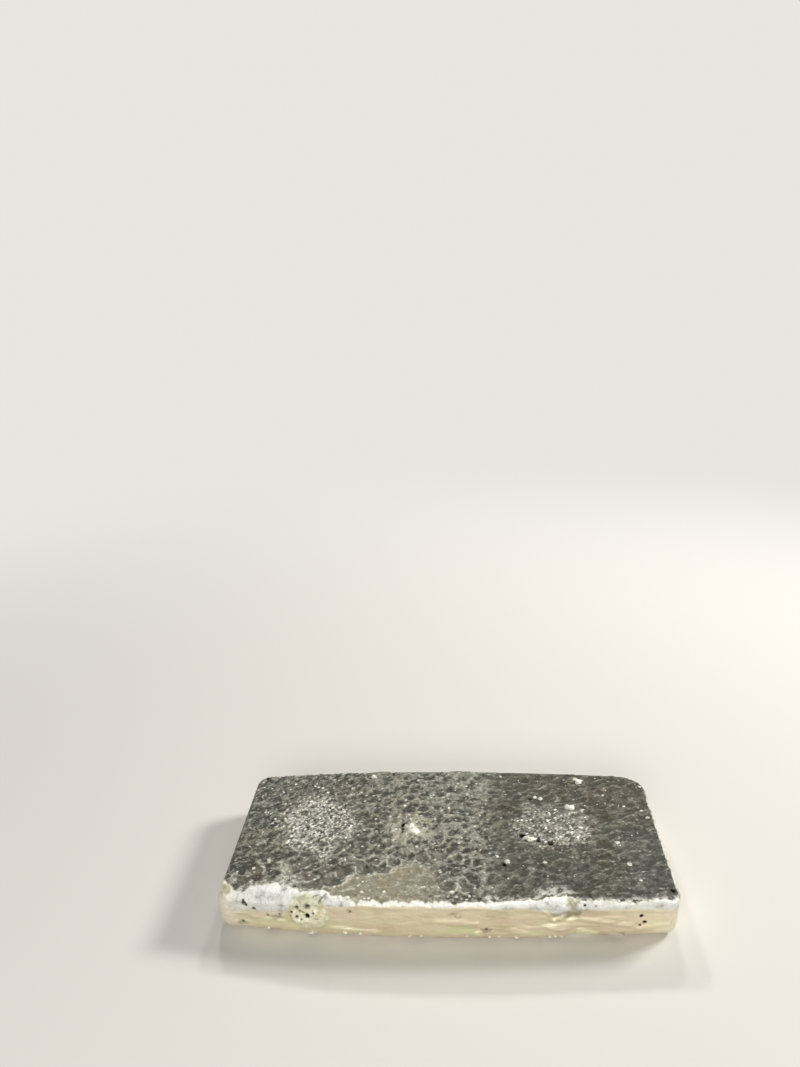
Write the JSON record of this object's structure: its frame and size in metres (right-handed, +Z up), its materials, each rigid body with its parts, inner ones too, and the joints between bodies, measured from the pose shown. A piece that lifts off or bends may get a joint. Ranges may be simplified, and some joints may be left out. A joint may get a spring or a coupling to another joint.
{
  "type": "dore bar",
  "caption": "Cast slab of unrefined gold and silver alloy with bowed long sides, rounded floor edge, crowned and cratered poured face and a bright drafted wall.",
  "frame": {"origin": "middle of the floor the bar lies on, at the centre of its length and width", "axes": "+X along the bar, -Y its front wall with the porous lump and the flow notch, +Z up out of the poured face"},
  "size_m": [0.2054, 0.0954, 0.0219],
  "materials": {
    "dore_metal": "as cast, pale gold walls under a dark grey oxidised poured face"
  },
  "bodies": {
    "root": {"dore_bar": "dore_metal"}
  },
  "joints": []
}
